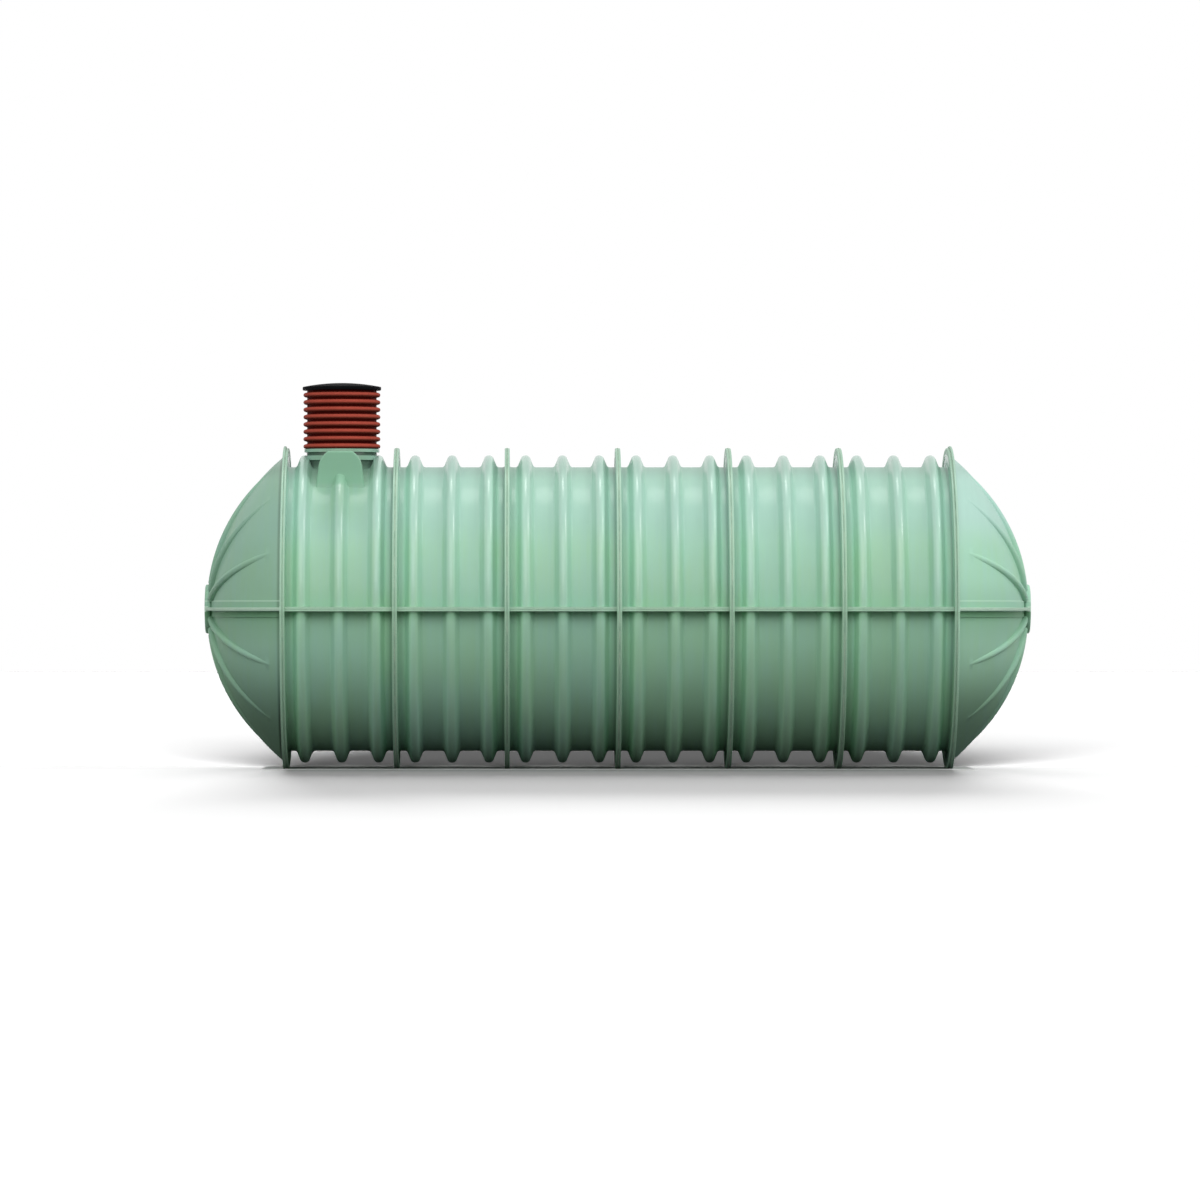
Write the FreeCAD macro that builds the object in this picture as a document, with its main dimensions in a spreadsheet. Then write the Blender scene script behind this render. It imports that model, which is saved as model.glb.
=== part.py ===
import FreeCAD, Part
import math
import os

import Sketcher

os.makedirs("parts", exist_ok=True)
doc = FreeCAD.newDocument("water_tank")

# Driving dimensions in millimetres, angles in degrees
DIMENSIONS = {
    # barrel of six flanged bays
    "bay_pitch": 860,
    "shell_radius": 1106,
    "shell_wall": 8,
    "rib_pitch": 287,
    "rib_height": 92,
    "rib_foot_half": 64,
    "rib_crest_half": 27,
    "rib_wall": 13,
    "rib_crest_round": 36,
    "foot_round": 22,
    # flanges
    "flange_radius": 1254,
    "end_flange_radius": 1270,
    "web_thick": 12,
    "rim_thick": 17,
    "rim_height": 52,
    "rim_round": 5,
    "seam_reach": 112,
    "seam_lip": 28,
    "axis_height": 1240,
    "seal_thick": 4,
    "seal_inset": 1,
    # domed ends
    "dome_radius": 1535,
    "dome_depth": 584,
    "dome_rib_height": 40,
    "dome_rib_half": 25,
    "dome_rib_round": 27,
    "dome_rib_first": 22.5,
    "dome_rib_span": 135,
    "dome_rib_start": 14,
    "dome_rib_reach": 80,
    "dome_seam_reach": 52,
    "seam_root_proud": 8,
    "seam_root_height": 62,
    "hub_radius": 191,
    "hub_face": 640,
    "hub_crown": 8,
    "hub_rim": 42,
    "hub_foot": 165,
    "hub_round": 14,
    # access neck and inlet bosses
    "neck_radius": 274,
    "band_radius": 288,
    "band_low": 1159,
    "band_high": 1194,
    "collar_radius": 293,
    "collar_low": 1221,
    "collar_high": 1246,
    "boss_half": 170,
    "boss_foot": 190,
    "boss_spring": 1079,
    "boss_reach": 585,
    "boss_wall": 10,
    "boss_pad": 14,
    "boss_round": 16,
    "spigot_height": 92,
    "spigot_wall": 12,
    "spigot_gap": 2,
    # corrugated riser and lid
    "riser_radius": 300,
    "riser_valley": 271,
    "riser_wall": 7,
    "riser_liner": 4,
    "ring_pitch": 57.3,
    "ring_foot": 42,
    "ring_round": 17,
    "lid_radius": 306,
    "lid_rim": 27,
    "lid_height": 58,
    "lid_wall": 10,
    "lid_plug": 34,
    "lid_gap": 4,
    "lid_round": 7,
}
BAYS = 6
RIBS_PER_BAY = 3
DOME_RIBS = 6
RINGS = 8

sheet = doc.addObject("Spreadsheet::Sheet", "Sizes")
for row, (alias, number) in enumerate(DIMENSIONS.items(), start=1):
    sheet.set("A%d" % row, alias)
    sheet.set("B%d" % row, str(number))
    sheet.setAlias("B%d" % row, alias)
doc.recompute()


class Size:
    """A length or angle as a number together with the sheet formula it comes from."""

    def __init__(self, value, text=None):
        self.value = value
        self.text = repr(value) if text is None else text

    def combine(self, other, sign, value):
        return Size(value, "(%s %s %s)" % (self.text, sign, other.text))

    def __add__(self, other):
        other = as_size(other)
        return self.combine(other, "+", self.value + other.value)

    def __sub__(self, other):
        other = as_size(other)
        return self.combine(other, "-", self.value - other.value)

    def __rsub__(self, other):
        return as_size(other) - self

    def __mul__(self, other):
        other = as_size(other)
        return self.combine(other, "*", self.value * other.value)

    def __truediv__(self, other):
        other = as_size(other)
        return self.combine(other, "/", self.value / other.value)

    def __neg__(self):
        return self * -1

    __radd__ = __add__
    __rmul__ = __mul__


def as_size(number):
    return number if isinstance(number, Size) else Size(number)


def root(size):
    return Size(math.sqrt(size.value), "sqrt(%s)" % size.text)


def leg(hypotenuse, other):
    """The remaining side of a right triangle."""
    return root(hypotenuse * hypotenuse - other * other)


def sine(angle):
    return Size(math.sin(math.radians(angle.value)), "sin(%s)" % angle.text)


def cosine(angle):
    return Size(math.cos(math.radians(angle.value)), "cos(%s)" % angle.text)


def arc_sine(ratio):
    return Size(math.degrees(math.asin(ratio.value)), "asin(%s)" % ratio.text)


def bind(item, prop, size):
    item.setExpression(prop, as_size(size).text)


size = {alias: Size(float(number), "Sizes." + alias) for alias, number in DIMENSIONS.items()}


def new_body(label):
    body = doc.addObject("PartDesign::Body", label)
    body.Label = label
    return body


def sketch_on(body, name, plane_role):
    sketch = body.newObject("Sketcher::SketchObject", name)
    plane = next(item for item in body.Origin.OriginFeatures if item.Role == plane_role)
    sketch.AttachmentSupport = [(plane, "")]
    sketch.MapMode = "FlatFace"
    return sketch


def pin(sketch, edge, end, across, up):
    """Hold one end of an edge at sheet coordinates."""
    for kind, place in (("DistanceX", across), ("DistanceY", up)):
        place = as_size(place)
        index = sketch.addConstraint(Sketcher.Constraint(kind, edge, end, place.value))
        bind(sketch, "Constraints[%d]" % index, place)


def outline(sketch, corners):
    """Closed outline through corners (x, y); (x, y, radius, side) bends the edge that follows."""
    first = sketch.GeometryCount
    count = len(corners)
    ends = []
    for number, corner in enumerate(corners):
        following = corners[(number + 1) % count]
        start = FreeCAD.Vector(as_size(corner[0]).value, as_size(corner[1]).value, 0)
        stop = FreeCAD.Vector(as_size(following[0]).value, as_size(following[1]).value, 0)
        if len(corner) == 2:
            sketch.addGeometry(Part.LineSegment(start, stop), False)
            ends.append((1, 2))
            continue
        radius, side = corner[2], corner[3]
        chord = stop - start
        normal = FreeCAD.Vector(-chord.y, chord.x, 0).normalize()
        rise = radius.value - math.sqrt(radius.value ** 2 - (chord.Length / 2) ** 2)
        middle = (start + stop) * 0.5 + normal * (side * rise)
        # an edge that bulges left of its direction runs clockwise
        if side > 0:
            sketch.addGeometry(Part.Arc(stop, middle, start), False)
            ends.append((2, 1))
        else:
            sketch.addGeometry(Part.Arc(start, middle, stop), False)
            ends.append((1, 2))
    for number in range(count):
        after = (number + 1) % count
        joint = Sketcher.Constraint(
            "Coincident", first + number, ends[number][1], first + after, ends[after][0])
        sketch.addConstraint(joint)
    for number, corner in enumerate(corners):
        pin(sketch, first + number, ends[number][0], corner[0], corner[1])
        if len(corner) == 4:
            index = sketch.addConstraint(
                Sketcher.Constraint("Radius", first + number, corner[2].value))
            bind(sketch, "Constraints[%d]" % index, corner[2])


def turn(body, name, kind, plane_role, axis, corners, angle=360):
    """Revolve an outline evenly to both sides of its sketch plane."""
    sketch = sketch_on(body, name + "_outline", plane_role)
    outline(sketch, corners)
    feature = body.newObject("PartDesign::" + kind, name)
    feature.Profile = sketch
    feature.ReferenceAxis = (sketch, [axis])
    feature.Angle = angle
    feature.Midplane = angle < 360
    doc.recompute()
    return feature


def push(body, name, kind, plane_role, outlines, length, both_sides):
    """Pad or pocket one or more outlines along the plane normal."""
    sketch = sketch_on(body, name + "_outline", plane_role)
    for corners in outlines:
        outline(sketch, corners)
    feature = body.newObject("PartDesign::" + kind, name)
    feature.Profile = sketch
    feature.Midplane = both_sides
    bind(feature, "Length", length)
    doc.recompute()
    return feature


def round_edges(body, name, radius, wanted):
    """Fillet the edges of the body that the test picks."""
    base = body.Tip
    names = ["Edge%d" % (number + 1) for number, edge in enumerate(base.Shape.Edges) if wanted(edge)]
    fillet = body.newObject("PartDesign::Fillet", name)
    fillet.Base = (base, names)
    bind(fillet, "Radius", radius)
    doc.recompute()
    return fillet


ALONG = FreeCAD.Vector(1, 0, 0)
UP = FreeCAD.Vector(0, 0, 1)


def is_hoop(edge, radius, axis=ALONG):
    """A circular edge with the given radius about the tank axis or another."""
    if edge.Degenerated or edge.Curve.TypeId != "Part::GeomCircle":
        return False
    return abs(edge.Curve.Radius - radius.value) < 0.01 and abs(edge.Curve.Axis.dot(axis)) > 0.99


def place(body, along, rotation):
    """Set a piece on the tank axis, at a distance from mid length."""
    body.Placement = FreeCAD.Placement(FreeCAD.Vector(0, 0, 0), rotation)
    bind(body, "Placement.Base.x", along)
    bind(body, "Placement.Base.z", size["axis_height"])


UPRIGHT = FreeCAD.Rotation()
ROLLED = FreeCAD.Rotation(ALONG, 180)
TURNED = FreeCAD.Rotation(UP, 180)

shell_inside = size["shell_radius"] - size["shell_wall"]
rib_top = size["shell_radius"] + size["rib_height"]
bay_half = (size["bay_pitch"] - size["seal_thick"]) / 2
rib_places = [size["rib_pitch"] * (number - (RIBS_PER_BAY - 1) / 2) for number in range(RIBS_PER_BAY)]
seam_radius = size["shell_radius"] + size["seam_reach"]
foot_half_width = leg(size["end_flange_radius"], size["axis_height"]) + size["rim_thick"]


def flange_steps(face, inward, radius):
    """Corners of a ring flange from its root to its mating face, thick along the rim."""
    rim_root = radius - size["rim_height"]
    web = face + inward * size["web_thick"]
    rim = face + inward * size["rim_thick"]
    step = size["rim_thick"] - size["web_thick"]
    return [(web, rim_root - step), (rim, rim_root), (rim, radius), (face, radius)]


def half_shell(label):
    """One bay of the ribbed barrel above the seam, with its ring flanges and seam flanges."""
    body = new_body(label)
    corners = [(-bay_half, shell_inside)]
    for middle in rib_places:
        foot = size["rib_foot_half"] - size["rib_wall"]
        crest = size["rib_crest_half"] - size["rib_wall"] / 2
        top = rib_top - size["rib_wall"]
        corners += [(middle - foot, shell_inside), (middle - crest, top)]
        corners += [(middle + crest, top), (middle + foot, shell_inside)]
    corners.append((bay_half, shell_inside))
    corners += flange_steps(bay_half, -1, size["flange_radius"])[::-1]
    corners.append((bay_half - size["web_thick"], size["shell_radius"]))
    for middle in reversed(rib_places):
        corners.append((middle + size["rib_foot_half"], size["shell_radius"]))
        corners.append((middle + size["rib_crest_half"], rib_top))
        corners.append((middle - size["rib_crest_half"], rib_top))
        corners.append((middle - size["rib_foot_half"], size["shell_radius"]))
    corners.append((-bay_half + size["web_thick"], size["shell_radius"]))
    corners += flange_steps(-bay_half, 1, size["flange_radius"])
    turn(body, label + "_wall", "Revolution", "XZ_Plane", "H_Axis", corners, 180)
    round_edges(body, label + "_crests", size["rib_crest_round"], lambda edge: is_hoop(edge, rib_top))
    round_edges(body, label + "_roots", size["foot_round"],
                lambda edge: is_hoop(edge, size["shell_radius"]))
    round_edges(body, label + "_rims", size["rim_round"],
                lambda edge: is_hoop(edge, size["flange_radius"]))
    seams = []
    for side in (-1, 1):
        seams.append([(-bay_half, side * shell_inside), (bay_half, side * shell_inside),
                      (bay_half, side * seam_radius), (-bay_half, side * seam_radius)])
    push(body, label + "_seams", "Pad", "XY_Plane", seams, size["web_thick"], False)
    lips = []
    for side in (-1, 1):
        lip = seam_radius - size["seam_lip"]
        lips.append([(-bay_half, side * lip), (bay_half, side * lip),
                     (bay_half, side * seam_radius), (-bay_half, side * seam_radius)])
    push(body, label + "_lips", "Pad", "XY_Plane", lips, size["rim_thick"], False)
    return body


def flat_foot(body, length):
    """Cut the rims flat where the tank stands."""
    beyond = size["end_flange_radius"] + size["rim_height"]
    corners = [(-foot_half_width, size["axis_height"]), (foot_half_width, size["axis_height"]),
               (foot_half_width, beyond), (-foot_half_width, beyond)]
    push(body, body.Label + "_foot", "Pocket", "YZ_Plane", [corners], length, True)


def arch(inset):
    """Outline of the inlet boss with flared sides, a round top and a flat crown, moved inwards."""
    half = size["boss_half"] - inset
    foot = size["boss_foot"] - inset
    high = size["collar_low"] - inset
    crown = leg(half, high - size["boss_spring"])
    low = leg(shell_inside, size["boss_reach"]) - size["shell_wall"]
    return [(-foot, low), (foot, low), (half, size["boss_spring"], half, -1),
            (crown, high), (-crown, high, half, -1), (-half, size["boss_spring"])]


def access_neck(body):
    """Neck with band, collar and spigot, and the inlet bosses that cross below it."""
    spigot = size["riser_valley"] - size["riser_wall"] - size["spigot_gap"]
    spigot_top = size["collar_high"] + size["spigot_height"]
    neck_root = leg(shell_inside, size["neck_radius"]) - size["shell_wall"]
    profile = [(0, neck_root), (size["neck_radius"], neck_root),
               (size["neck_radius"], size["band_low"]), (size["band_radius"], size["band_low"]),
               (size["band_radius"], size["band_high"]), (size["neck_radius"], size["band_high"]),
               (size["neck_radius"], size["collar_low"]), (size["collar_radius"], size["collar_low"]),
               (size["collar_radius"], size["collar_high"]), (spigot, size["collar_high"]),
               (spigot, spigot_top), (0, spigot_top)]
    turn(body, "neck_outside", "Revolution", "XZ_Plane", "V_Axis", profile)
    push(body, "boss_outside", "Pad", "XZ_Plane", [arch(Size(0))], size["boss_reach"] * 2, True)
    round_edges(body, "boss_rims", size["boss_round"], is_boss_rim)
    push(body, "boss_inside", "Pocket", "XZ_Plane", [arch(size["boss_wall"])],
         (size["boss_reach"] - size["boss_pad"]) * 2, True)
    bore = spigot - size["spigot_wall"]
    shaft = [(0, shell_inside / 2), (bore, shell_inside / 2), (bore, spigot_top), (0, spigot_top)]
    turn(body, "neck_bore", "Groove", "XZ_Plane", "V_Axis", shaft)
    water = [(-bay_half, 0), (bay_half, 0), (bay_half, shell_inside), (-bay_half, shell_inside)]
    turn(body, "water_space", "Groove", "XZ_Plane", "H_Axis", water, 180)


def spots_on(edge):
    """Three points along an edge, just inside its ends and midway."""
    span = edge.LastParameter - edge.FirstParameter
    return [edge.valueAt(edge.FirstParameter + share * span) for share in (0.02, 0.5, 0.98)]


def is_boss_rim(edge):
    """An edge round the flat face of an inlet boss, clear of the rib that meets it."""
    if edge.Degenerated:
        return False
    spots = spots_on(edge)
    on_face = all(abs(abs(spot.y) - size["boss_reach"].value) < 0.01 for spot in spots)
    clear = all(abs(spot.x) > size["boss_half"].value / 2 or spot.z > size["collar_low"].value - 1
                for spot in spots)
    above = min(spot.z for spot in spots) > leg(size["shell_radius"], size["boss_reach"]).value + 0.1
    return on_face and clear and above


bodies = []
for bay in range(1, BAYS + 1):
    along = size["bay_pitch"] * (bay - (BAYS + 1) / 2)
    upper = half_shell("upper_shell_bay_%d" % bay)
    if bay == 1:
        access_neck(upper)
    place(upper, along, UPRIGHT)
    lower = half_shell("lower_shell_bay_%d" % bay)
    flat_foot(lower, size["bay_pitch"])
    place(lower, along, ROLLED)
    bodies += [upper, lower]

# Domed ends, drawn with X pointing outward from the end joint
dome_centre = size["dome_depth"] - size["dome_radius"]
dome_inside = size["dome_radius"] - size["shell_wall"]
joint_face = size["seal_thick"] / 2
flange_back = joint_face + size["web_thick"]
end_plane = size["bay_pitch"] * (BAYS / 2)


def dome_reach(radius, along):
    """Distance from the tank axis of a sphere about the dome centre."""
    return leg(radius, along - dome_centre)


def seam_strips(reach):
    """Outlines of a strip that stands on both sides of the dome along its seam."""
    outer = size["dome_radius"] + reach
    inner = size["dome_radius"] - size["shell_wall"] / 2
    near_hub = size["hub_radius"]
    strips = []
    for side in (-1, 1):
        strips.append([
            (dome_centre + leg(inner, near_hub), side * near_hub, inner, -side),
            (flange_back, side * dome_reach(inner, flange_back)),
            (flange_back, side * dome_reach(outer, flange_back), outer, side),
            (dome_centre + leg(outer, near_hub), side * near_hub)])
    return strips


def half_dome(label):
    """Half of a domed end with its ring flange, seam flange and meridian ribs."""
    body = new_body(label)
    corners = [(size["dome_depth"], 0, size["dome_radius"], -1),
               (flange_back, dome_reach(size["dome_radius"], flange_back))]
    corners += flange_steps(joint_face, 1, size["end_flange_radius"])
    corners.append((joint_face, 0))
    turn(body, label + "_outside", "Revolution", "XZ_Plane", "H_Axis", corners, 180)
    round_edges(body, label + "_rim", size["rim_round"],
                lambda edge: is_hoop(edge, size["end_flange_radius"]))
    push(body, label + "_seams", "Pad", "XY_Plane", seam_strips(size["dome_seam_reach"]),
         size["web_thick"], False)
    push(body, label + "_seam_roots", "Pad", "XY_Plane", seam_strips(size["seam_root_proud"]),
         size["seam_root_height"], False)
    meridian_ribs(body)
    corners = [(joint_face, 0), (joint_face, shell_inside), (flange_back, shell_inside),
               (flange_back, dome_reach(dome_inside, flange_back), dome_inside, 1),
               (dome_centre + dome_inside, 0)]
    turn(body, label + "_inside", "Groove", "XZ_Plane", "H_Axis", corners)
    return body


def meridian_ribs(body):
    """Round-topped ribs on the dome that run out to nothing towards the flange, repeated about X."""
    begin = arc_sine((size["hub_radius"] + size["dome_rib_start"]) / size["dome_radius"])
    finish = arc_sine(dome_reach(size["dome_radius"], flange_back + size["dome_rib_reach"])
                      / size["dome_radius"])
    # the crest is a tighter arc than the dome, so it sinks into the dome where the rib ends
    height = size["dome_rib_height"]
    across = size["dome_radius"] * cosine(finish - begin)
    shift = height * (size["dome_radius"] * 2 + height) / ((size["dome_radius"] + height - across) * 2)
    sketch = sketch_on(body, body.Label + "_rib_section", "XZ_Plane")
    tilt = FreeCAD.Rotation(FreeCAD.Vector(1, 0, 0), size["dome_rib_first"].value)
    swing = FreeCAD.Rotation(FreeCAD.Vector(0, 1, 0), begin.value)
    sketch.AttachmentOffset = FreeCAD.Placement(FreeCAD.Vector(0, 0, 0), tilt.multiply(swing))
    rise = shift * sine(begin)
    bind(sketch, "AttachmentOffset.Base.x", dome_centre + shift * cosine(begin))
    bind(sketch, "AttachmentOffset.Base.y", rise * sine(size["dome_rib_first"]))
    bind(sketch, "AttachmentOffset.Base.z", -(rise * cosine(size["dome_rib_first"])))
    half = size["dome_rib_half"]
    low = size["dome_radius"] - size["shell_wall"] / 2 - shift
    shoulder = (size["dome_radius"] + height - shift - size["dome_rib_round"]
                + leg(size["dome_rib_round"], half))
    outline(sketch, [(low, -half), (shoulder, -half, size["dome_rib_round"], -1),
                     (shoulder, half), (low, half)])
    rib = body.newObject("PartDesign::Revolution", body.Label + "_rib")
    rib.Profile = sketch
    rib.ReferenceAxis = (sketch, ["V_Axis"])
    bind(rib, "Angle", arc_sine(size["dome_radius"] * sine(finish - begin)
                                / (size["dome_radius"] + height - shift)))
    pattern = body.newObject("PartDesign::PolarPattern", body.Label + "_ribs")
    pattern.Originals = [rib]
    axis = next(item for item in body.Origin.OriginFeatures if item.Role == "X_Axis")
    pattern.Axis = (axis, [""])
    pattern.Occurrences = DOME_RIBS
    bind(pattern, "Angle", size["dome_rib_span"])
    body.Tip = pattern
    doc.recompute()


def hub(label):
    """Crowned disc that closes the dome's apex and sits on its sphere."""
    body = new_body(label)
    crown = (size["hub_radius"] * size["hub_radius"] + size["hub_crown"] * size["hub_crown"])
    crown = crown / (size["hub_crown"] * 2)
    rim_high = size["hub_face"] - size["hub_crown"]
    corners = [(size["dome_depth"], 0, size["dome_radius"], -1),
               (dome_centre + leg(size["dome_radius"], size["hub_foot"]), size["hub_foot"]),
               (rim_high - size["hub_rim"], size["hub_radius"]),
               (rim_high, size["hub_radius"], crown, 1),
               (size["hub_face"], 0)]
    turn(body, label + "_disc", "Revolution", "XZ_Plane", "H_Axis", corners)
    round_edges(body, label + "_edge", size["hub_round"], lambda edge: is_hoop(edge, size["hub_radius"]))
    return body


for side, along, rotation in (("left", -end_plane, TURNED), ("right", end_plane, UPRIGHT)):
    upper = half_dome(side + "_dome_upper")
    place(upper, along, rotation)
    lower = half_dome(side + "_dome_lower")
    flat_foot(lower, size["bay_pitch"])
    place(lower, along, rotation.multiply(ROLLED))
    disc = hub(side + "_hub")
    place(disc, along, rotation)
    bodies += [upper, lower, disc]


def ring_seal(label):
    """Flat gasket between two ring flanges."""
    body = new_body(label)
    half = size["seal_thick"] / 2
    low = shell_inside + size["seal_inset"]
    high = size["flange_radius"] - size["seal_inset"]
    turn(body, label + "_ring", "Revolution", "XZ_Plane", "H_Axis",
         [(-half, low), (half, low), (half, high), (-half, high)])
    return body


for joint in range(1, BAYS + 2):
    seal = ring_seal("ring_seal_%d" % joint)
    flat_foot(seal, size["bay_pitch"])
    place(seal, size["bay_pitch"] * (joint - 1 - BAYS / 2), ROLLED)
    bodies.append(seal)

riser_top = size["collar_high"] + size["ring_pitch"] * RINGS
neck_along = size["bay_pitch"] * (1 - (BAYS + 1) / 2)
riser_bore = size["riser_valley"] - size["riser_wall"]
liner_outside = riser_bore + size["riser_liner"]


def riser(label):
    """Smooth inner wall of the twin-wall riser, slipped over the neck spigot."""
    body = new_body(label)
    turn(body, label + "_wall", "Revolution", "XZ_Plane", "V_Axis",
         [(riser_bore, size["collar_high"]), (liner_outside, size["collar_high"]),
          (liner_outside, riser_top), (riser_bore, riser_top)])
    return body


def riser_corrugation(label):
    """Corrugated outer wall of the riser, with round-crested rings."""
    body = new_body(label)
    # straight ring flanks run tangent into the round crest
    half = size["ring_foot"] / 2
    inward = size["riser_radius"] - size["riser_valley"] - size["ring_round"]
    span = inward * inward + half * half
    flank = root(span - size["ring_round"] * size["ring_round"])
    crest_radius = size["riser_valley"] + flank * (inward * flank + half * size["ring_round"]) / span
    crest_start = flank * (half * flank - inward * size["ring_round"]) / span
    corners = [(liner_outside, size["collar_high"])]
    for number in range(RINGS):
        low = size["collar_high"] + size["ring_pitch"] * number
        high = low + size["ring_foot"]
        corners += [(size["riser_valley"], low),
                    (crest_radius, low + crest_start, size["ring_round"], -1),
                    (crest_radius, high - crest_start),
                    (size["riser_valley"], high)]
    corners += [(size["riser_valley"], riser_top), (liner_outside, riser_top)]
    turn(body, label + "_wall", "Revolution", "XZ_Plane", "V_Axis", corners)
    return body


def lid(label):
    """Domed lid that rests on the riser, with a plug ring inside it."""
    body = new_body(label)
    plug = riser_bore - size["lid_gap"]
    dome_rise = size["lid_height"] - size["lid_rim"]
    bend = (size["lid_radius"] * size["lid_radius"] + dome_rise * dome_rise) / (dome_rise * 2)
    bend_inside = bend - size["lid_wall"]
    summit = riser_top + size["lid_height"]
    plug_inside = plug - size["lid_wall"]
    ceiling = summit - bend + leg(bend_inside, plug_inside)
    corners = [(0, summit, bend, 1), (size["lid_radius"], riser_top + size["lid_rim"]),
               (size["lid_radius"], riser_top), (plug, riser_top), (plug, riser_top - size["lid_plug"]),
               (plug_inside, riser_top - size["lid_plug"]),
               (plug_inside, ceiling, bend_inside, -1), (0, summit - size["lid_wall"])]
    turn(body, label + "_cover", "Revolution", "XZ_Plane", "V_Axis", corners)
    round_edges(body, label + "_edge", size["lid_round"],
                lambda edge: is_hoop(edge, size["lid_radius"], UP))
    return body


for piece in (riser("riser_pipe"), riser_corrugation("riser_rings"), lid("riser_lid")):
    place(piece, neck_along, UPRIGHT)
    bodies.append(piece)

doc.recompute()
for item in doc.Objects:
    if "Invalid" in item.State or "Error" in item.State:
        raise RuntimeError("%s did not build" % item.Label)
for body in bodies:
    if body.Shape.isNull() or not body.Shape.isValid() or len(body.Shape.Solids) != 1:
        raise RuntimeError("%s is not one sound solid" % body.Label)
for body in bodies:
    body.Shape.exportStep("parts/%s.step" % body.Label)
    print(body.Label, round(body.Shape.Volume / 1e6, 2), "litres")
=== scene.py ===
import math

import bpy
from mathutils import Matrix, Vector


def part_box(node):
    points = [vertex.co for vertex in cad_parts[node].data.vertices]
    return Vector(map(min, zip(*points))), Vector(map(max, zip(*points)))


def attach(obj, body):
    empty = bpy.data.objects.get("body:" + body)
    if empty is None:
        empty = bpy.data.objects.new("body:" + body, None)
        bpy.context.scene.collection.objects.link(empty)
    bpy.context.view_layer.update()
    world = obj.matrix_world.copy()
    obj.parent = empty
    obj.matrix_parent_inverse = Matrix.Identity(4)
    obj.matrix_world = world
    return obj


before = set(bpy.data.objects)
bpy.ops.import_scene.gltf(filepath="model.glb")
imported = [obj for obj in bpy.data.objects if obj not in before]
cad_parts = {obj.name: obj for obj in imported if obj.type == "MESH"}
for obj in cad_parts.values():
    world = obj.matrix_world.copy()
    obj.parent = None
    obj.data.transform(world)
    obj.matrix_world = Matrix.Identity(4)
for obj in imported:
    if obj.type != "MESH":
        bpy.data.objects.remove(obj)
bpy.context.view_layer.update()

# Pieces by finish
SEALS = ["ring_seal_%d" % number for number in range(1, 8)]
RISER = ["riser_pipe", "riser_rings"]
LID = "riser_lid"
LAMINATE = [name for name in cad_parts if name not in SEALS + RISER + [LID]]


def middle(node):
    low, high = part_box(node)
    return (low + high) / 2


# Places and sizes in metres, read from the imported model
BAY_LOW, BAY_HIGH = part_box("upper_shell_bay_2")
AXIS_HEIGHT = BAY_LOW.z
FLANGE_RADIUS = BAY_HIGH.y
JOINT_PLACES = [middle(name).x for name in SEALS]
BAY_PITCH = JOINT_PLACES[1] - JOINT_PLACES[0]
NECK_PLACE = middle("riser_rings").x
RISER_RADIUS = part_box("riser_rings")[1].y

# Forms of the moulding that the boxes don't give
SHELL_RADIUS = 1.106
RIM_HEIGHT = 0.052
RIM_BACK = 0.019  # from the middle of a joint to the back of the flange's rim
SEAM_REACH = 1.218
SEAM_LIP = 0.028
DOME_RADIUS = 1.535
DOME_DEPTH = 0.584
DOME_SEAM_REACH = 0.052
DOME_SEAM_ROOT = 0.062  # height of the swelling along the seam of a dome
BOSS_HALF = 0.190  # half the width of an inlet boss
BOSS_FACE = 0.574  # from the axis to the flat face of a boss
RING_DEPTH = 0.029
CREST_DEPTH = 0.018  # how far in the crest of a riser ring begins

# Guide lines of the paste beads
BEAD_STEP = 0.03
RING_BEAD_SINK = 0.0015
SEAM_BEAD_SINK = 0.001
FOOT_GAP = 0.02
HUB_CLEAR = 0.195


class Wire:
    """A node socket that does sums by adding Math nodes to its tree."""

    def __init__(self, tree, socket):
        self.tree = tree
        self.socket = socket

    def work(self, operation, first, second=0.0):
        return self.tree.add("ShaderNodeMath", {"operation": operation}, {0: first, 1: second})

    def __add__(self, other):
        return self.work("ADD", self, other)

    def __sub__(self, other):
        return self.work("SUBTRACT", self, other)

    def __rsub__(self, other):
        return self.work("SUBTRACT", other, self)

    def __mul__(self, other):
        return self.work("MULTIPLY", self, other)

    def __truediv__(self, other):
        return self.work("DIVIDE", self, other)

    def __abs__(self):
        return self.work("ABSOLUTE", self)

    __radd__ = __add__
    __rmul__ = __mul__


class Tree:
    """A node tree under construction."""

    def __init__(self, group):
        self.group = group

    def add(self, kind, settings=None, sockets=None, out=0):
        """One node: its settings first, then the values or wires of its sockets."""
        node = self.group.nodes.new(kind)
        for name, value in (settings or {}).items():
            setattr(node, name, value)
        for name, value in (sockets or {}).items():
            if isinstance(value, Wire):
                self.group.links.new(value.socket, node.inputs[name])
            else:
                node.inputs[name].default_value = value
        return Wire(self, node.outputs[out]) if node.outputs else node


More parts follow.
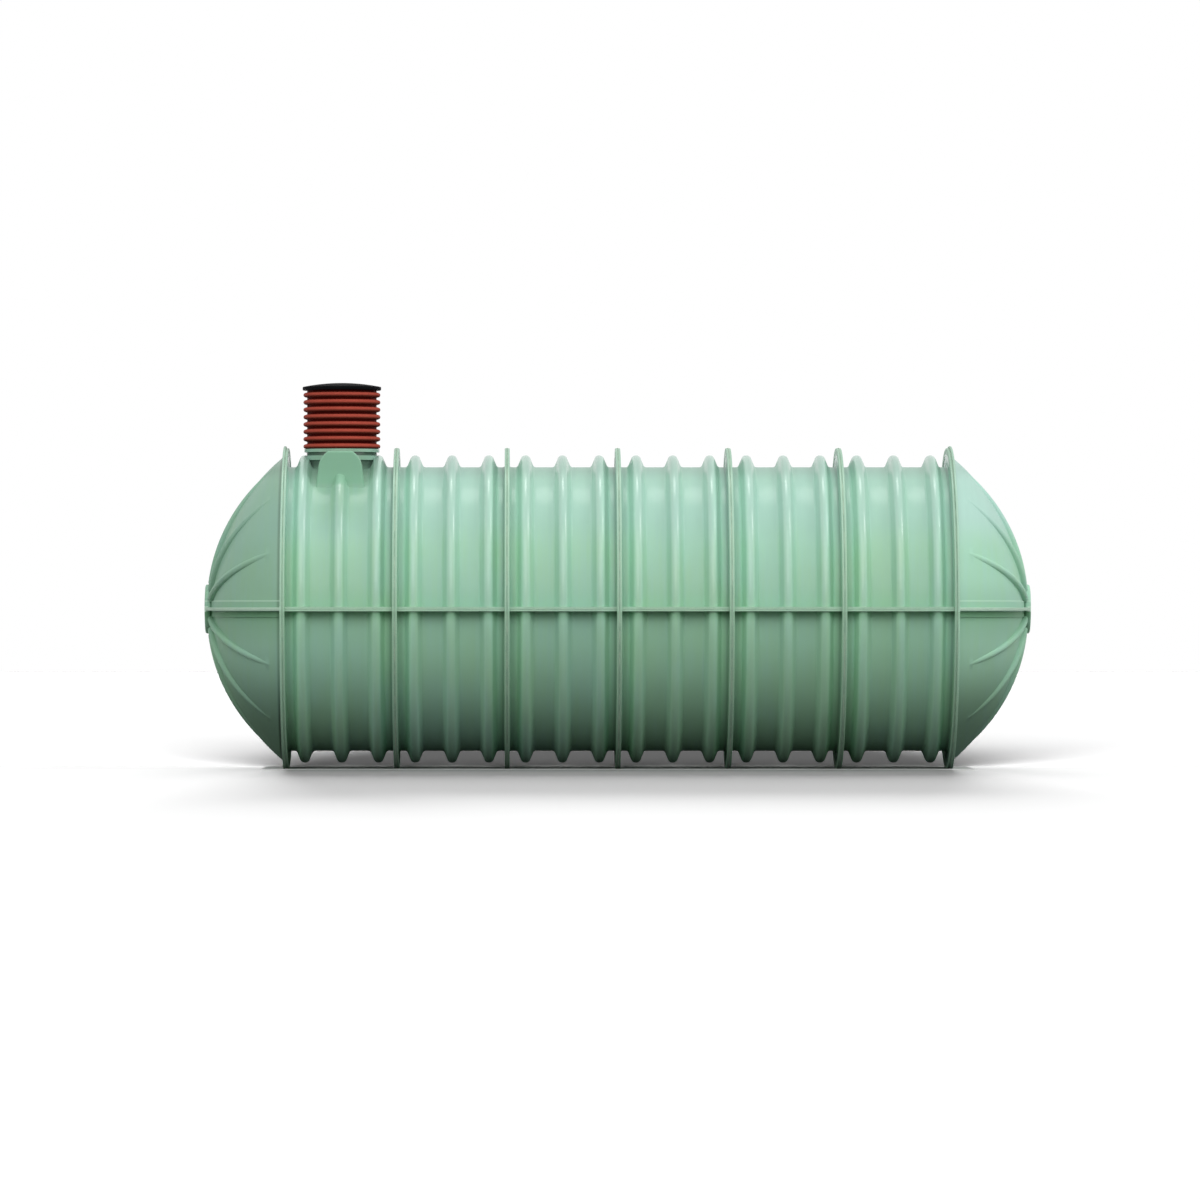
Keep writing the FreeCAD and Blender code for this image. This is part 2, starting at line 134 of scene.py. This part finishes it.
class Paint(Tree):
    """A material, with the few textures that the finishes share."""

    def __init__(self, name):
        self.material = bpy.data.materials.new(name)
        self.material.use_nodes = True
        super().__init__(self.material.node_tree)
        self.shader = self.group.nodes["Principled BSDF"]
        self.place = self.add("ShaderNodeTexCoord", out="Object")
        self.x, self.y, self.z = [
            self.add("ShaderNodeSeparateXYZ", sockets={0: self.place}, out=axis) for axis in "XYZ"]

    def finish(self, **sockets):
        """Set the shader's sockets and hand over the material."""
        for name, value in sockets.items():
            socket = self.shader.inputs[name.replace("_", " ").title().replace("Ior", "IOR")]
            if isinstance(value, Wire):
                self.group.links.new(value.socket, socket)
            else:
                socket.default_value = value
        return self.material

    def point(self, x, y, z):
        return self.add("ShaderNodeCombineXYZ", sockets={0: x, 1: y, 2: z})

    def noise(self, scale, detail=3.0, roughness=0.5, place=None):
        return self.add("ShaderNodeTexNoise", sockets={
            "Vector": place or self.place, "Scale": scale, "Detail": detail, "Roughness": roughness})

    def ramp(self, value, low, high, start=0.0, stop=1.0):
        """Goes smoothly from start at low to stop at high, and stays there."""
        return self.add("ShaderNodeMapRange", {"interpolation_type": "SMOOTHSTEP"}, {
            "Value": value, "From Min": low, "From Max": high, "To Min": start, "To Max": stop})

    def fall(self, value, low, high):
        """1 up to low, and 0 from high on."""
        return self.ramp(value, low, high, 1.0, 0.0)

    def blend(self, share, first, second):
        return self.add("ShaderNodeMix", {"data_type": "RGBA"}, {0: share, 6: first, 7: second}, out=2)

    def shade(self, colour, level):
        """A colour made lighter or darker by a number around 1."""
        return self.add("ShaderNodeVectorMath", {"operation": "SCALE"}, {0: colour, "Scale": level})

    def bump(self, height, distance, under=None):
        sockets = {"Height": height, "Distance": distance, "Strength": 1.0}
        if under is not None:
            sockets["Normal"] = under
        return self.add("ShaderNodeBump", sockets=sockets)

    def root(self, value):
        return value.work("SQRT", value)

    def facing(self, axis):
        """How far the surface faces along an axis, from -1 to 1."""
        normal = self.add("ShaderNodeNewGeometry", out="Normal")
        return self.add("ShaderNodeSeparateXYZ", sockets={0: normal}, out=axis)


def srgb(red, green, blue):
    """A screen colour, 0 to 255, as linear RGBA."""
    def linear(level):
        level = level / 255
        return level / 12.92 if level <= 0.04045 else ((level + 0.055) / 1.055) ** 2.4
    return (linear(red), linear(green), linear(blue), 1.0)


class Gelcoat(Paint):
    """Paint for the moulded laminate, which knows its places on the tank."""

    def __init__(self, name):
        super().__init__(name)
        self.height = self.z - AXIS_HEIGHT
        self.radius = self.root(self.y * self.y + self.height * self.height)
        self.angle = self.height.work("ARCTAN2", self.height, abs(self.y))
        along = (self.x - JOINT_PLACES[0]) / BAY_PITCH
        self.bay = along.work("FLOOR", along)
        self.off_joint = (along - along.work("ROUND", along)) * BAY_PITCH
        self.off_neck = self.x - NECK_PLACE
        self.left_end = self.fall(self.x, JOINT_PLACES[0] - 0.02, JOINT_PLACES[0] - 0.01)
        self.right_end = self.ramp(self.x, JOINT_PLACES[-1] + 0.01, JOINT_PLACES[-1] + 0.02)
        self.ends = self.left_end + self.right_end
        self.haze = self.noise(0.9, 4.0, 0.55)
        self.mottle = self.noise(14.0, 5.0, 0.6)

    def ring_rims(self):
        """The trimmed rims of the ring flanges."""
        rim_root = FLANGE_RADIUS - RIM_HEIGHT
        near_joint = self.fall(abs(self.off_joint), 0.040, 0.050)
        return near_joint * self.ramp(self.radius, rim_root, rim_root + 0.012)

    def seam_rims(self):
        """The trimmed lips of the seam flanges, on the barrel and on the domes."""
        lip_root = SEAM_REACH - SEAM_LIP
        barrel_lip = self.ramp(abs(self.y), lip_root, lip_root + 0.006)
        past_centre = abs(self.x) - (JOINT_PLACES[-1] + DOME_DEPTH - DOME_RADIUS)
        dome_reach = self.root(past_centre * past_centre + self.y * self.y)
        dome_lip = self.ramp(dome_reach, DOME_RADIUS + 0.030, DOME_RADIUS + 0.036)
        at_seam = self.fall(abs(self.height), RIM_BACK, RIM_BACK + 0.005)
        return at_seam * (barrel_lip * (1 - self.ends) + dome_lip * self.ends)

    def boss_faces(self):
        """The flat faces of the two inlet bosses."""
        return (self.ramp(abs(self.y), BOSS_FACE - 0.006, BOSS_FACE + 0.006)
                * self.ramp(self.height, 0.94, 0.99)
                * self.fall(abs(self.off_neck), BOSS_HALF - 0.005, BOSS_HALF + 0.005))

    def fresh(self):
        """Colour and level: each moulding a little different, broad haze, runs that follow the hoop."""
        side = self.ramp(self.height, -0.001, 0.001)
        batch = self.add("ShaderNodeTexWhiteNoise", {"noise_dimensions": "2D"},
                         {"Vector": self.point(self.bay, side, 0.0)})
        runs = self.noise(1.0, 4.0, 0.6, self.point(self.x * 26.0, self.angle * 1.3, self.y * 0.2))
        cool, warm = srgb(153, 195, 174), srgb(149, 191, 160)
        green = self.blend(self.ramp(self.haze * 0.6 + runs * 0.4, 0.36, 0.64), cool, warm)
        level = 0.855 + batch * 0.03 + self.haze * 0.07 + runs * 0.10 + self.mottle * 0.03
        return green, level

    def painted_light_and_shade(self, green, level):
        """Painted light and shade: a pale sheen above, shadow under the seam and by the neck, light on the
        flanks, shade low on the domes.
        """
        # Painted shade below and beside the access neck, where the neck and riser would shade the barrel
        painted_neck_shade = self.fall(abs(self.off_neck), 0.12, 0.30) * self.ramp(self.height, 0.45, 0.85)
        # Painted sheen: a pale, cooler veil on the upper barrel, stronger on the right dome and weaker on
        # the left
        painted_sheen = (self.ramp(self.height, 0.40, 0.75) * (1 - painted_neck_shade * 0.8)
                 * (0.7 + self.right_end * 0.3 - self.left_end * 0.5))
        # Painted shadow under the seam flange, deeper green and reaching further down on the domes
        near_seam = (self.ramp(self.height, -0.11, -0.03) * 0.5
                     + self.ends * self.ramp(self.height, -0.32, -0.02) * 0.3)
        painted_seam_shadow = self.fall(self.height, -0.022, -0.018) * near_seam
        # Painted light on the side-facing flanks of the ribs
        painted_flank_light = self.ramp(abs(self.facing("X")), 0.35, 0.9) * (1 - self.ends)
        # Painted light in the narrow valleys beside the ring flanges, where shade falls
        painted_corner_light = (self.ramp(abs(self.off_joint), 0.045, 0.080)
                  * self.fall(abs(self.off_joint), 0.110, 0.150) * (1 - self.ends))
        # Painted shadow in a thin line along the left side of each ring flange
        painted_flange_shadow = self.ramp(self.off_joint, -0.048, -0.030) * self.fall(self.off_joint, -0.021, -RIM_BACK)
        # Painted shade low on the domes, darker towards the bottom and more so on the right dome
        painted_low_shade = self.ends * self.fall(self.height, -0.95, -0.25)
        # Painted shade along the top of the barrel
        painted_crown_shade = self.ramp(self.height, 0.98, 1.10)
        # Painted light on the upper right dome; the tint below also paints the left dome darker
        painted_end_light = self.right_end * self.ramp(self.height, -0.05, 0.25)
        tint = (1 + painted_flank_light * 0.12 + painted_corner_light * 0.22 + painted_end_light * 0.20 - self.left_end * 0.15
                - painted_low_shade * (0.48 + self.right_end * 0.14) - painted_neck_shade * 0.14 - painted_flange_shadow * 0.26 - painted_crown_shade * 0.18)
        green = self.blend(painted_sheen, green, srgb(160, 194, 182))
        green = self.blend(painted_seam_shadow, green, srgb(92, 146, 102))
        return self.shade(green, level * tint)

    def shade_neck_grooves(self, green):
        """Painted shade in the grooves of the access neck."""
        neck_radius = self.root(self.off_neck * self.off_neck + self.y * self.y)
        painted_groove_shade = self.fall(neck_radius, 0.277, 0.284) * self.ramp(self.height, 1.06, 1.13)
        return self.shade(green, 1 - painted_groove_shade * 0.66)


def green_gelcoat():
    """Glossy moulded laminate: mint green, hazy in broad patches, paler and matter along trimmed edges."""
    paint = Gelcoat("green_gelcoat")
    seam_rim = paint.seam_rims()
    rim = seam_rim.work("MAXIMUM", paint.ring_rims(), seam_rim)
    boss = paint.boss_faces()
    green = paint.painted_light_and_shade(*paint.fresh())
    green = paint.shade_neck_grooves(paint.blend(boss * 0.7, green, srgb(130, 176, 148)))

    # Glass strands show through where the rims were trimmed and rolled
    strand_place = paint.point(paint.x * 90.0, paint.angle * 420.0, paint.radius * 90.0)
    strands = paint.noise(1.0, 5.0, 0.7, strand_place)
    laminate = paint.blend(paint.ramp(strands, 0.35, 0.65), srgb(142, 180, 155), srgb(176, 202, 178))
    colour = paint.blend(rim * 0.55, green, laminate)
    # Painted highlight along the dome seam lips and along the top edge of the swelling above the dome seam
    painted_dome_seam_highlight = paint.ends * paint.ramp(abs(paint.height - DOME_SEAM_ROOT), 0.003, 0.008, 0.4, 0.0)
    colour = paint.blend(seam_rim * paint.ends * 0.6 + painted_dome_seam_highlight, colour, srgb(196, 222, 204))

    # Washed glossier above, with slow waves from the mould and strands on the rims
    rib = paint.ramp(paint.radius, SHELL_RADIUS + 0.020, SHELL_RADIUS + 0.070)
    gloss = paint.ramp(paint.height, -0.30, 0.40) * (0.16 + paint.haze * 0.30 + rib * 0.60)
    gloss = gloss * (1 - rim * 0.7) * (1 - paint.ends * 0.6) * (1 - boss)
    roughness = paint.ramp(paint.height, -0.90, -0.20, 0.90, 0.42) + paint.mottle * 0.10 + rim * 0.12
    waves = paint.bump(paint.noise(2.6, 2.0, 0.45), 0.006)
    normal = paint.bump(strands * rim, 0.0012, waves)
    return paint.finish(base_color=colour, roughness=roughness, normal=normal, specular_ior_level=0.05,
                        coat_weight=gloss, coat_roughness=0.22)


def joint_paste():
    """Grey-green bonding paste, matt and slightly grainy."""
    paint = Paint("joint_paste")
    grain = paint.noise(160.0, 4.0, 0.6)
    patches = paint.noise(9.0, 3.0, 0.5)
    colour = paint.blend(paint.ramp(patches, 0.35, 0.65), srgb(128, 160, 138), srgb(158, 182, 160))
    colour = paint.shade(colour, 0.90 + grain * 0.16)
    return paint.finish(base_color=colour, roughness=0.52 + grain * 0.14,
                        normal=paint.bump(grain, 0.0008))


def terracotta_plastic():
    """Extruded riser pipe: satin terracotta, painted shade in the valleys and under the rings, rubbed
    paler on the crests.
    """
    paint = Paint("terracotta_plastic")
    x = paint.x - NECK_PLACE
    radius = paint.root(x * x + paint.y * paint.y)
    crest = paint.ramp(radius, RISER_RADIUS - RING_DEPTH, RISER_RADIUS - CREST_DEPTH)
    # Painted shade on the downward-facing undersides of the rings
    painted_underside_shade = paint.fall(paint.facing("Z"), -0.75, 0.15)
    angle = x.work("ARCTAN2", x, paint.y)
    streaks = paint.noise(1.0, 4.0, 0.6, paint.point(angle * 3.0, 0.0, paint.z * 160.0))
    cloud = paint.noise(7.0, 4.0, 0.55)
    scuff = paint.noise(38.0, 6.0, 0.7, paint.point(angle * 0.10, 0.0, paint.z))
    body = paint.blend(cloud, srgb(150, 64, 52), srgb(166, 76, 62))
    body = paint.shade(body, 0.93 + streaks * 0.14)
    body = paint.shade(body, 1 - painted_underside_shade * 0.62)
    # Painted shade: the valleys between the rings go dark red, near black
    colour = paint.blend(crest, srgb(66, 8, 4), body)
    rubbed = crest * paint.ramp(scuff, 0.58, 0.72) * 0.22
    colour = paint.blend(rubbed, colour, srgb(205, 128, 108))
    roughness = 0.55 + streaks * 0.10 + rubbed * 0.5
    normal = paint.bump(streaks, 0.0009)
    normal = paint.bump(paint.noise(140.0, 2.0), 0.0002, normal)
    return paint.finish(base_color=colour, roughness=roughness, normal=normal, specular_ior_level=0.02)


def black_plastic():
    """Moulded lid: black, finely grained, with a thin dust on top."""
    paint = Paint("black_plastic")
    grain = paint.noise(420.0, 2.0, 0.5)
    cloud = paint.noise(6.0, 5.0, 0.6)
    dust = paint.ramp(paint.facing("Z"), 0.55, 0.98) * paint.ramp(cloud, 0.40, 0.75) * 0.08
    colour = paint.blend(dust, srgb(9, 10, 12), srgb(56, 56, 58))
    colour = paint.shade(colour, 0.92 + cloud * 0.16)
    roughness = 0.62 + grain * 0.08 + dust * 0.7
    return paint.finish(base_color=colour, roughness=roughness, normal=paint.bump(grain, 0.0005),
                        specular_ior_level=0.03)


def tree_sockets(group, inputs):
    """The geometry in and out of a modifier's tree, and its named sizes."""
    group.interface.new_socket("Geometry", in_out="INPUT", socket_type="NodeSocketGeometry")
    group.interface.new_socket("Geometry", in_out="OUTPUT", socket_type="NodeSocketGeometry")
    for name, kind in inputs:
        group.interface.new_socket(name, in_out="INPUT", socket_type=kind)
    tree = Tree(group)
    names = ["Geometry"] + [name for name, kind in inputs]
    return tree, {name: tree.add("NodeGroupInput", out=name) for name in names}


def set_inputs(modifier, values):
    """Give a geometry modifier its sizes by the identifiers of its sockets."""
    for item in modifier.node_group.interface.items_tree:
        if item.in_out == "INPUT" and item.name in values:
            modifier[item.identifier] = values[item.name]


def fairing_tree():
    """Joins loose triangles and shades them smooth, except across sharp edges."""
    group = bpy.data.node_groups.new("fairing", "GeometryNodeTree")
    tree, size = tree_sockets(group, [
        ("Weld Distance", "NodeSocketFloat"), ("Sharp Angle", "NodeSocketFloat")])
    welded = tree.add("GeometryNodeMergeByDistance", sockets={
        "Geometry": size["Geometry"], "Distance": size["Weld Distance"]})
    angle = tree.add("GeometryNodeInputMeshEdgeAngle", out="Unsigned Angle")
    soft = tree.add("FunctionNodeCompare", {"operation": "LESS_THAN"}, {0: angle, 1: size["Sharp Angle"]})
    smooth = tree.add("GeometryNodeSetShadeSmooth", {"domain": "FACE"}, {
        "Geometry": welded, "Shade Smooth": True})
    edged = tree.add("GeometryNodeSetShadeSmooth", {"domain": "EDGE"}, {
        "Geometry": smooth, "Shade Smooth": soft})
    tree.add("NodeGroupOutput", sockets={"Geometry": edged})
    return group


def dress(nodes, material, fairing):
    """Give CAD pieces their finish and smooth shading."""
    for name in nodes:
        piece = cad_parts[name]
        piece.data.materials.clear()
        piece.data.materials.append(material)
        modifier = piece.modifiers.new("fairing", "NODES")
        modifier.node_group = fairing
        set_inputs(modifier, {"Weld Distance": 0.00002, "Sharp Angle": math.radians(28)})


def bead_tree():
    """An uneven bead of paste squeezed out along a joint line."""
    group = bpy.data.node_groups.new("paste_bead", "GeometryNodeTree")
    tree, size = tree_sockets(group, [
        ("Spacing", "NodeSocketFloat"), ("Bead Radius", "NodeSocketFloat"),
        ("Unevenness", "NodeSocketFloat"), ("Sway", "NodeSocketFloat"),
        ("Material", "NodeSocketMaterial")])
    line = tree.add("GeometryNodeResampleCurve", {"mode": "LENGTH"}, {
        "Curve": size["Geometry"], "Length": size["Spacing"]})
    lumps = tree.add("ShaderNodeTexNoise", sockets={"Scale": 17.0, "Detail": 3.0, "Roughness": 0.6})
    swing = tree.add("ShaderNodeTexNoise", sockets={"Scale": 5.0, "Detail": 2.0}, out="Color")
    centred = tree.add("ShaderNodeVectorMath", {"operation": "SUBTRACT"}, {0: swing, 1: (0.5, 0.5, 0.5)})
    offset = tree.add("ShaderNodeVectorMath", {"operation": "SCALE"}, {0: centred, "Scale": size["Sway"]})
    line = tree.add("GeometryNodeSetPosition", sockets={"Geometry": line, "Offset": offset})
    swell = 1 + (lumps - 0.5) * size["Unevenness"]
    profile = tree.add("GeometryNodeCurvePrimitiveCircle", sockets={
        "Resolution": 8, "Radius": size["Bead Radius"]})
    line = tree.add("GeometryNodeSetCurveRadius", sockets={"Curve": line, "Radius": swell})
    bead = tree.add("GeometryNodeCurveToMesh", sockets={
        "Curve": line, "Profile Curve": profile, "Fill Caps": True})
    bead = tree.add("GeometryNodeSetShadeSmooth", sockets={"Geometry": bead})
    bead = tree.add("GeometryNodeRealizeInstances", sockets={"Geometry": bead})
    bead = tree.add("GeometryNodeSetMaterial", sockets={"Geometry": bead, "Material": size["Material"]})
    tree.add("NodeGroupOutput", sockets={"Geometry": bead})
    return group


def bead_piece(name, lines, tree, sizes):
    """One mesh of beads along the given joint lines."""
    curve = bpy.data.curves.new(name + "_lines", "CURVE")
    curve.dimensions = "3D"
    for points in lines:
        spline = curve.splines.new("POLY")
        spline.points.add(len(points) - 1)
        for point, place in zip(spline.points, points):
            point.co = (*place, 1.0)
    guide = bpy.data.objects.new(name + "_lines", curve)
    bpy.context.scene.collection.objects.link(guide)
    modifier = guide.modifiers.new("bead", "NODES")
    modifier.node_group = tree
    set_inputs(modifier, sizes)
    shape = guide.evaluated_get(bpy.context.evaluated_depsgraph_get())
    mesh = bpy.data.meshes.new_from_object(shape)
    bpy.data.objects.remove(guide)
    piece = bpy.data.objects.new(name, mesh)
    bpy.context.scene.collection.objects.link(piece)
    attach(piece, "root")


def arc(centre, radius, start, stop, spot):
    """Points of an arc, about one bead step apart."""
    count = max(2, round(abs(stop - start) * radius / BEAD_STEP))
    turns = [start + (stop - start) * number / count for number in range(count + 1)]
    return [centre + radius * spot(turn) for turn in turns]


def ring_joint_lines():
    """The outer edge of each ring joint, from one foot over the top to the other."""
    lines = []
    reach = FLANGE_RADIUS - RING_BEAD_SINK
    low = math.asin((AXIS_HEIGHT - FOOT_GAP) / reach)
    for place in JOINT_PLACES:
        centre = Vector((place, 0, AXIS_HEIGHT))
        lines.append(arc(centre, reach, -low, math.pi + low,
                         lambda turn: Vector((0, math.cos(turn), math.sin(turn)))))
    return lines


def seam_joint_lines():
    """The outer edge of the level seam along every bay and over both domes."""
    lines = []
    for side in (-1, 1):
        lip = side * (SEAM_REACH - SEAM_BEAD_SINK)
        for left, right in zip(JOINT_PLACES, JOINT_PLACES[1:]):
            start, stop = left + RIM_BACK, right - RIM_BACK
            count = round((stop - start) / BEAD_STEP)
            places = [start + (stop - start) * number / count for number in range(count + 1)]
            lines.append([Vector((place, lip, AXIS_HEIGHT)) for place in places])
        reach = DOME_RADIUS + DOME_SEAM_REACH - SEAM_BEAD_SINK
        for end, facing in ((JOINT_PLACES[0], -1), (JOINT_PLACES[-1], 1)):
            centre = Vector((end + facing * (DOME_DEPTH - DOME_RADIUS), 0, AXIS_HEIGHT))
            first = math.acos((DOME_RADIUS - DOME_DEPTH + RIM_BACK) / reach)
            last = math.asin(HUB_CLEAR / reach)
            lines.append(arc(centre, reach, first, last,
                             lambda turn: Vector((facing * math.cos(turn), side * math.sin(turn), 0))))
    return lines


# Finishes
paste = joint_paste()
fairing = fairing_tree()
dress(LAMINATE, green_gelcoat(), fairing)
dress(SEALS, paste, fairing)
dress(RISER, terracotta_plastic(), fairing)
dress([LID], black_plastic(), fairing)

# Paste along the joints
beads = bead_tree()
bead_piece("ring_joint_beads", ring_joint_lines(), beads, {
    "Spacing": 0.014, "Bead Radius": 0.0042, "Unevenness": 1.1, "Sway": 0.006, "Material": paste})
bead_piece("seam_joint_beads", seam_joint_lines(), beads, {
    "Spacing": 0.014, "Bead Radius": 0.0026, "Unevenness": 1.2, "Sway": 0.003, "Material": paste})

# Camera: level with the tank axis, far off, as in the photograph
CAMERA_PLACE = Vector((-0.776, -59.0, AXIS_HEIGHT))
camera_data = bpy.data.cameras.new("camera")
camera_data.sensor_width = 36
camera_data.lens = 226.9
camera_data.shift_x = 0.0683
camera_data.shift_y = 0.0075
camera_data.clip_end = 400
camera = bpy.data.objects.new("camera", camera_data)
camera.location = CAMERA_PLACE
camera.rotation_euler = (math.pi / 2, 0, 0)
bpy.context.scene.collection.objects.link(camera)
bpy.context.scene.camera = camera


def white_to_eye(tree):
    """1 for rays from the eye, off gloss or through glass, which see the white surround."""
    eye, gloss, glass = [tree.add("ShaderNodeLightPath", out=name)
                         for name in ("Is Camera Ray", "Is Glossy Ray", "Is Transmission Ray")]
    return eye.work("MAXIMUM", eye.work("MAXIMUM", eye, gloss), glass)


def studio_world(ambient):
    """White to the eye, a plain even light to the object."""
    world = bpy.data.worlds.new("studio")
    world.use_nodes = True
    tree = Tree(world.node_tree)
    strength = white_to_eye(tree) * (1.0 - ambient) + ambient
    shader = world.node_tree.nodes["Background"]
    shader.inputs["Color"].default_value = (1, 1, 1, 1)
    world.node_tree.links.new(strength.socket, shader.inputs["Strength"])
    bpy.context.scene.world = world


def floor_paint(seen_level, bounce_level):
    """Pale to the eye, and throwing little light back up."""
    paint = Paint("pale_floor")
    level = white_to_eye(paint) * (seen_level - bounce_level) + bounce_level
    colour = paint.add("ShaderNodeCombineColor", sockets={0: level, 1: level, 2: level})
    return paint.finish(base_color=colour, roughness=1.0, specular_ior_level=0.0)


def floor_zone(name, outline, material):
    """One level zone of the floor, its outline running anticlockwise from above."""
    mesh = bpy.data.meshes.new(name)
    mesh.from_pydata([(x, y, 0) for x, y in outline], [], [range(len(outline))])
    mesh.materials.append(material)
    floor = bpy.data.objects.new(name, mesh)
    bpy.context.scene.collection.objects.link(floor)
    return floor


def sun(name, azimuth, elevation, level, spread):
    """A wide soft light; azimuth 0 stands in front of the tank and turns towards +X."""
    data = bpy.data.lights.new(name, "SUN")
    data.energy = level * math.pi
    data.angle = math.radians(spread)
    lamp = bpy.data.objects.new(name, data)
    turn, rise = math.radians(azimuth), math.radians(elevation)
    towards = Vector((math.sin(turn) * math.cos(rise), -math.cos(turn) * math.cos(rise), math.sin(rise)))
    lamp.rotation_euler = towards.to_track_quat("Z", "Y").to_euler()
    bpy.context.scene.collection.objects.link(lamp)
    return lamp


# Light: broad from the front, a little stronger on the right, with an even surround. A narrow light on
# the right and one behind draw the bright streaks along the ribs. Each light: its azimuth and elevation
# in degrees, its level, and its spread in degrees
LIGHTS = (
    ("front_light", -2, 38, 0.43, 50),
    ("low_light", 0, -2, 0.26, 60),
    ("right_light", 65, 30, 0.30, 60),
    ("streak_light", 82, 45, 0.14, 16),
    ("left_light", -65, 30, 0.20, 60),
    ("sheen_light", 180, 74, 0.15, 20),
)
studio_world(ambient=0.35)
for light in LIGHTS:
    sun(*light)

# The floor in three zones: before, behind and under the tank. The first two have low lights of their
# own from the far side of the tank, so that its shadow falls long and soft on both sides
FLOOR_REACH = 90.0
UNDER_X = JOINT_PLACES[-1] + 0.18
UNDER_FRONT, UNDER_BACK = -0.65, 0.6
under = [(-UNDER_X, UNDER_FRONT), (UNDER_X, UNDER_FRONT), (UNDER_X, UNDER_BACK), (-UNDER_X, UNDER_BACK)]
front = [(-FLOOR_REACH, -FLOOR_REACH), (FLOOR_REACH, -FLOOR_REACH), (FLOOR_REACH, UNDER_BACK),
         under[2], under[1], under[0], under[3], (-FLOOR_REACH, UNDER_BACK)]
back = [(-FLOOR_REACH, UNDER_BACK), (FLOOR_REACH, UNDER_BACK),
        (FLOOR_REACH, FLOOR_REACH), (-FLOOR_REACH, FLOOR_REACH)]

# The domes stay out of the longest shadow in front, which is fainter at its ends
barrel = bpy.data.collections.new("barrel_shadow")
for name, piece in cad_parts.items():
    if "dome" not in name and "hub" not in name:
        barrel.objects.link(piece)

# Each zone: its outline, its grey to the eye and to bounced light, the azimuth of its lights, and for
# each light its elevation, level, spread and what shades it, where that isn't everything
FLOOR_ZONES = (
    ("floor_front", front, 0.26, 0.060, 180, ((13, 7.6, 10, barrel), (33, 2.2, 40, None))),
    ("floor_back", back, 0.12, 0.028, -2, ((9, 50.0, 22, None),)),
    ("floor_under", under, 0.72, 0.100, 0, ()),
)
for name, outline, seen_level, bounce_level, azimuth, lights in FLOOR_ZONES:
    zone = floor_zone(name, outline, floor_paint(seen_level, bounce_level))
    lit = bpy.data.collections.new(name + "_lit")
    lit.objects.link(zone)
    for number, (elevation, level, spread, blockers) in enumerate(lights, 1):
        lamp = sun("%s_light_%d" % (name, number), azimuth, elevation, level, spread)
        lamp.light_linking.receiver_collection = lit
        lamp.light_linking.blocker_collection = blockers

bpy.context.scene.view_settings.view_transform = "Standard"
